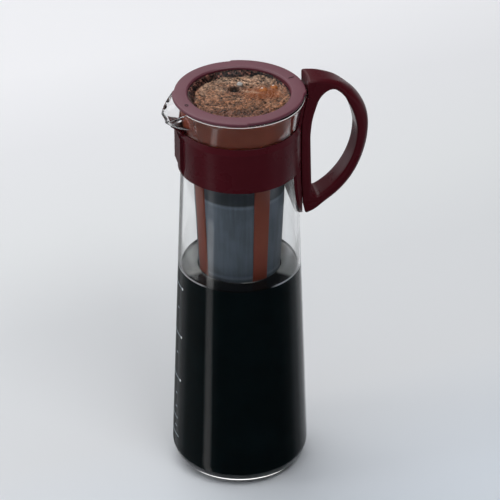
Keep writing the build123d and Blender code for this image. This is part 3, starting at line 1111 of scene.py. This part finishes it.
def frothAt(x, y):
    f = foam
    reach = math.hypot(x, y)
    climb = f["bank"] * between(f["bankRound"], math.degrees(math.atan2(y, x)))
    climb *= blendStep((reach - f["bankStart"]) / (f["radius"] - f["bankStart"]))
    coarse, coarseMark = bubbles(x, y, climb, f["cells"][0])
    fine, fineMark = bubbles(x + 20, y - 9, climb, f["cells"][1])
    wet = wetShare(x, y)
    front = -(x * ahead.x + y * ahead.y)      # millimetres towards the jug's front
    dark = blendStep((front - 13) / 11 + 0.5 * drift(x, y, 0.1, 9.0))
    z = f["edgeHeight"] + (f["crownHeight"] - f["edgeHeight"]) * (1 - (reach / f["radius"]) ** 2)
    z += (1 - wet) * (0.32 * fine * (1 - 0.4 * dark) + (0.30 + 0.6 * dark) * coarse)
    z += climb + wet * 0.45 * fine + 0.5 * drift(x, y, 0.09, 1.0)
    # colour from front to back
    cloud = 0.5 + 0.5 * drift(x, y, 0.13, 2.0)
    colour = mixColour(f["tan"], f["pale"], blendStep(0.15 + cloud * 0.9 - front / 60 - 0.35))
    colour = mixColour(colour, f["dark"], 0.70 * dark)
    # froth drawn out in arcs round the crater
    dx, dy = fromCrater(x, y)
    around = math.atan2(dy, dx)
    arcs = noise.noise(Vector((math.hypot(dx, dy) * 0.62 + 2 * cloud,
                               math.cos(around) * 2.4, math.sin(around) * 2.4)))
    z += 0.45 * arcs * (1 - wet)
    shade = (0.72 + 0.48 * fineMark + 0.25 * (coarseMark - 0.5)) * (1 + 0.75 * arcs)
    # painted shade in the creases between bubbles
    crease = 0.80 + 0.32 * min(fine, 0.3 + 0.7 * coarse)
    # painted highlights: a sheen on the wet rim's bubbles and bright glints on some
    paintedWetGlints = 0.20 + 1.1 * fineMark * fine + 1.2 * blendStep(fineMark * 6 - 4.9)
    colour = mixColour(scaled(colour, shade * crease), scaled(f["wet"], paintedWetGlints), wet)
    return z, colour, cloud


def craterAt(x, y, z, colour):
    f = foam
    dx, dy = fromCrater(x, y)
    near = math.hypot(dx, dy) / f["craterRadius"]
    z -= f["craterDepth"] * math.exp(-near ** 4) - 0.8 * math.exp(-((near - 1.25) / 0.25) ** 2)
    colour = mixColour(colour, f["dark"], 0.40 * math.exp(-(near / 1.8) ** 4))
    for hx, hy, size in f["pits"]:
        pit = math.exp(-(math.hypot(x - hx, y - hy) / size) ** 4)
        z -= 1.2 * pit
        colour = mixColour(colour, f["hole"], 0.85 * pit)
    hole = math.exp(-(math.hypot(dx - 0.3, dy - 1.0) / f["craterRadius"]) ** 6)
    return z, mixColour(colour, f["hole"], hole)


def streakAt(x, y, colour, cloud):
    # an amber patch, and the pale streak that runs into it from the crater
    f = foam
    px, py, size = f["patch"]
    patch = blendStep(1.5 - math.hypot((x - px) / size, (y - py) / (size * 0.7)) * 1.1
                      + 0.5 * drift(x, y, 0.3, 7.0))
    colour = mixColour(colour, scaled(f["amber"], 0.7 + 0.5 * cloud), 0.8 * patch)
    dx, dy = fromCrater(x, y)
    ex, ey = fromCrater(*f["streakEnd"])
    t = max(0.0, min(1.0, (dx * ex + dy * ey) / (ex * ex + ey * ey)))
    streak = math.exp(-(math.hypot(dx - ex * t, dy - ey * t) / f["streakWide"]) ** 2)
    streak *= blendStep((math.hypot(dx, dy) - 2.6) / 1.6)
    return mixColour(colour, f["pale"], 0.75 * streak * (1 - 0.4 * t))


def blobsAt(x, y, z, colour):
    # big bubbles with a painted glint, and one grey bubble that is a painted reflection
    f = foam
    tones = [(blob, f["orange"]) for blob in f["blobs"]] + [(f["reflectingBlob"], f["bubbleReflection"])]
    for (bx, by, size), tone in tones:
        dome = 1 - ((x - bx) ** 2 + (y - by) ** 2) / size ** 2
        if dome > 0:
            z += 1.5 * math.sqrt(dome)
            colour = mixColour(colour, tone, min(1.0, dome * 3))
            glint = 1 - math.hypot(x - bx + 0.5, y - by - 0.8) / 1.1
            colour = mixColour(colour, f["glint"], blendStep(glint * 1.6))
    return min(z, f["topMost"]), colour


def foamPoint(x, y):
    z, colour, cloud = frothAt(x, y)
    z, colour = craterAt(x, y, z, colour)
    return blobsAt(x, y, z, streakAt(x, y, colour, cloud))


def groundsSide():
    # the wet side, just clear of the ring's skirt and the frame, down to the floor's gauze
    f, gap = filterFrame, foam["gap"]
    under = rimRing["skirtLow"] - gap
    wall, floor = f["wall"] + 2 * gap, f["low"] + f["baseThick"] + 6 * gap
    return [(foam["radius"], under), (rimRing["skirtOuter"] - 2 * gap, under),
            (f["collarRadius"] - f["collarWall"] - 4.5 * gap, f["collarFoot"] + f["collarWall"]),
            (f["basketTop"] - wall, f["hoopTop"]), (f["basketTop"] - wall, f["hoopFoot"]),
            (basketRadius(180) - wall, 180), (f["basketFoot"] - wall, floor),
            (foam["tip"], floor)]


def buildGrounds():
    f = foam
    rows, shades = [], []
    for i in range(f["rounds"]):
        reach = f["tip"] + (f["radius"] - f["tip"]) * i / (f["rounds"] - 1)
        row = []
        for x, y, _ in circle(reach, 0.0, f["around"]):
            z, colour = foamPoint(x, y)
            row.append((x, y, z))
            shades.append(colour)
        rows.append(row)
    for radius, z in groundsSide():
        rows.append(circle(radius, z, f["around"]))
        shades += [f["wet"]] * f["around"]
    bm = bmesh.new()
    made = skinRows(bm, rows, capFirst=True, capLast=True)
    shadeOf = dict(zip((vert for row in made for vert in row), shades))
    paint(bm, lambda vert: shadeOf[vert])
    return finishMesh("foamyGrounds", bm, wetGrounds, 75)


def makeGrounds():
    made, tree, shader = startMaterial("wetGrounds")
    addTint(tree, shader, 0.78, 1.25, 900.0)
    addRoughness(tree, shader, 0.16, 0.42)
    setSockets(shader, IOR=1.36, Specular_IOR_Level=0.3)
    addBump(tree, shader, addNoise(tree, 1500.0, 4.0), 0.35, 0.0002)
    return made


wetGrounds = makeGrounds()
foamyGrounds = buildGrounds()
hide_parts("coffee_grounds")
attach(foamyGrounds, "filter")
print("grounds made")


# studio: floor, soft lights and surroundings
studio = {
    # how far back (and to the left), in metres, and the floor's colour there: lighter towards the
    # back-left as painted light, bluish in front as painted shadow
    "floor": [(-0.10, (0.750, 0.795, 0.850)), (0.05, (0.775, 0.785, 0.800)),
              (0.22, (0.790, 0.800, 0.812)), (0.34, (0.850, 0.860, 0.865)),
              (0.50, (0.895, 0.895, 0.910)), (0.64, (0.990, 0.985, 1.000))],
    "floorLean": 0.45,
    "floorRough": 0.5,
    # soft boxes: place, width and height, power
    "boxes": {
        "backSoftbox": (ahead * 1.2 - right * 0.8 + up * 1.9, (2.3, 1.8), 19.0),
        "sideSoftbox": (-right * 1.5 - ahead * 0.3 + up * 0.9, (0.5, 1.3), 4.0),
        "frontSoftbox": (Vector((0.34, -0.95, 1.6)), (0.8, 0.5), 6.5),
    },
    "boxAim": Vector((0, 0, 0.1)),
    # the sky is lightest in one direction, and a pale backdrop stands low at the back
    "sky": 0.60,
    "skyWay": (up - ahead * 0.10 - right * 0.25).normalized(),
    "skyStops": [(0.35, (0.06, 0.06, 0.065)), (0.62, (0.13, 0.135, 0.145)),
                 (0.80, (0.30, 0.31, 0.33)), (0.90, (1.25, 1.28, 1.32))],
    "backdrop": (1.35, 1.37, 1.42),
    # glowing strips that paint the light gathered by the glass: radius, heights, middle and span in
    # degrees, strength
    "glows": [(41.0, 5.0, 6.3, -103.0, 50.0, 1.8), (42.7, 284.1, 284.5, -92.0, 88.0, 0.52)],
    # dark cards: radii of their rows, and the curve of the wall that mirrors them
    "flagRows": (52, 58, 66, 80, 105, 150, 322, 336, 430, 442, 455, 475, 1100),
    "flagCurve": 45.0,
    # degrees left (-) or right (+) of the camera, and how dark the cards are there
    "flagShade": [(-177, 0.2), (-168, 0.75), (-150, 0.80), (-140, 0.58), (-122, 0.72),
                  (-104, 0.88), (-43, 0.93), (-36, 0.97), (78, 0.97), (96, 0.93), (118, 0.70),
                  (140, 0.42), (165, 0.1), (177, 0.0)],
    # a glowing card among them that paints a pale streak in reflections, and how bright it is row
    # by row
    "glowingStreakCard": [(-67, 0.0), (-60, 1.0), (-54, 1.0), (-47, 0.0)],
    "glowingStreakRows": [(322, 0.80), (336, 1.3), (430, 1.3), (442, 0.4)],
    # the empty glass beside the basket mirrors these rows, and the collar the last ones
    "clearRows": (330, 440),
    "clearSides": [(-146, 0.0), (-134, 1.0), (-104, 1.0), (-88, 0.0), (88, 0.0), (104, 1.0)],
    "collarRow": 460, "collarLight": (71, 12, 0.65),
}


def buildFloor():
    bm = bmesh.new()
    rows = []
    for i in range(25):
        y = -3000 + 6000 * i / 24
        rows.append([(-3000 + 6000 * j / 24, y, -0.02) for j in range(25)])
    skinRows(bm, rows, loop=False)
    made, tree, shader = startMaterial("paleFloor")
    place = tree.nodes.new("ShaderNodeTexCoord")
    reach = addVector(tree, "DOT_PRODUCT", place.outputs["Object"],
                      ahead - right * studio["floorLean"])
    spot = addMath(tree, "ADD", reach, addMath(tree, "MULTIPLY", addNoise(tree, 2.0), 0.04))
    # painted light: the floor is lighter towards the back-left and bluish in front
    tint = addRamp(tree, addMath(tree, "ADD", spot, 0.15),
                   [(far + 0.17, colour) for far, colour in studio["floor"]])
    tree.links.new(tint, shader.inputs["Base Color"])
    setSockets(shader, Roughness=studio["floorRough"], Specular_IOR_Level=0.0)
    finishMesh("studioFloor", bm, made)


def makeCard(name, mirrors, throughGlass=False):
    # shines on rays that have met this many mirrors, and is clear to all others
    made = bpy.data.materials.new(name)
    made.use_nodes = True
    tree = made.node_tree
    tree.nodes.clear()
    path = tree.nodes.new("ShaderNodeLightPath")
    share = addMath(tree, "COMPARE", path.outputs["Glossy Depth"], mirrors)
    if throughGlass:
        seen = addMath(tree, "MINIMUM", path.outputs["Transmission Depth"], 1.0)
        share = addMath(tree, "MULTIPLY", seen, share)
    shade = addNode(tree, "ShaderNodeVertexColor", layer_name="shade")
    light = addNode(tree, "ShaderNodeVertexColor", layer_name="light")
    card = tree.nodes.new("ShaderNodeEmission")
    clear = tree.nodes.new("ShaderNodeBsdfTransparent")
    mix = tree.nodes.new("ShaderNodeMixShader")
    out = tree.nodes.new("ShaderNodeOutputMaterial")
    tree.links.new(light.outputs["Color"], card.inputs["Color"])
    tree.links.new(addMath(tree, "MULTIPLY", share, shade.outputs["Color"]), mix.inputs["Fac"])
    tree.links.new(clear.outputs["BSDF"], mix.inputs[1])
    tree.links.new(card.outputs["Emission"], mix.inputs[2])
    tree.links.new(mix.outputs["Shader"], out.inputs["Surface"])
    return made


def stageCards(name, cards, material):
    # each card is four (point, shade, light) corners
    bm = bmesh.new()
    layers = [bm.loops.layers.float_color.new(layer) for layer in ("shade", "light")]
    for corners in cards:
        face = bm.faces.new([bm.verts.new(point) for point, *values in corners])
        for loop, (point, *values) in zip(face.loops, corners):
            for layer, value in zip(layers, values):
                loop[layer] = (value, value, value, 1)
    piece = finishMesh(name, bm, material)
    piece.visible_diffuse = False
    piece.visible_shadow = False
    return piece


def flagCards():
    # dark cards on the table in front, which only reflections show
    def corner(angle, reach):
        # a straight line up the jug mirrors the row of spots at one angle
        turn = math.radians(angle)
        turn -= math.asin(min(0.95, studio["flagCurve"] / reach) * math.sin(turn / 2))
        spoke = -ahead * math.cos(turn) + right * math.sin(turn)
        dark = between(studio["flagShade"], angle)
        if studio["clearRows"][0] < reach < studio["clearRows"][1]:
            dark *= 1 - between(studio["clearSides"], angle)
        if reach > studio["collarRow"]:
            middle, span, strength = studio["collarLight"]
            dark -= strength * math.exp(-((angle - middle) / span) ** 2)
        light = between(studio["glowingStreakCard"], angle) * between(studio["glowingStreakRows"], reach)
        return spoke * reach + up * 0.4, max(0.0, dark), light

    rows = studio["flagRows"]
    return [(corner(angle, near), corner(angle, far), corner(angle + 1, far),
             corner(angle + 1, near))
            for angle in range(-177, 177) for near, far in zip(rows[:-1], rows[1:])]


def glowCards():
    # glowing strips that paint the light gathered by the jug's thick foot and by its rim, which
    # only show through the glass
    cards = []
    for radius, low, high, middle, span, strength in studio["glows"]:
        for i in range(180):
            (a, aFade), (b, bFade) = [
                (math.radians(middle + span * t), strength / 2 * blendStep((1 - abs(t)) * 4))
                for t in (2 * i / 180 - 1, 2 * (i + 1) / 180 - 1)]
            cards.append([(polar(radius, turn, z), fade, 2.0) for turn, z, fade in (
                (a, low, aFade), (a, high, aFade), (b, high, bFade), (b, low, bFade))])
    return cards


def addSoftbox(name, place, size, power):
    data = bpy.data.lights.new(name, "AREA")
    data.shape = "RECTANGLE"
    data.size, data.size_y = size
    data.energy = power
    box = bpy.data.objects.new(name, data)
    box.location = place
    box.rotation_mode = "QUATERNION"
    box.rotation_quaternion = (studio["boxAim"] - place).to_track_quat("-Z", "Y")
    scene.collection.objects.link(box)


def buildWorld():
    world = bpy.data.worlds.new("studioSky")
    world.use_nodes = True
    tree = world.node_tree
    way = tree.nodes.new("ShaderNodeTexCoord").outputs["Generated"]
    spread = addNode(tree, "ShaderNodeMapRange", From_Min=-1)
    tree.links.new(addVector(tree, "DOT_PRODUCT", way, studio["skyWay"]), spread.inputs["Value"])
    sky = addRamp(tree, spread.outputs["Result"], studio["skyStops"])
    height = tree.nodes.new("ShaderNodeSeparateXYZ")
    tree.links.new(way, height.inputs["Vector"])
    low = addRamp(tree, height.outputs["Z"], [(0.06, (1.0,) * 3), (0.24, (0.0,) * 3)])
    back = addRamp(tree, addVector(tree, "DOT_PRODUCT", way, ahead),
                   [(0.05, (0.0,) * 3), (0.45, studio["backdrop"])])
    both = addMix(tree, "ADD", sky, addMix(tree, "MULTIPLY", low, back))
    tree.links.new(both, tree.nodes["Background"].inputs["Color"])
    tree.nodes["Background"].inputs["Strength"].default_value = studio["sky"]
    scene.world = world


buildFloor()
darkFlag = stageCards("darkFlag", flagCards(), makeCard("darkCard", 1.0))
darkFlag.visible_camera = False
stageCards("glassGlow", glowCards(), makeCard("paintedGlassHighlight", 0.0, throughGlass=True))
for name, box in studio["boxes"].items():
    addSoftbox(name, *box)
buildWorld()
scene.view_settings.view_transform = "Standard"
print("studio lit")
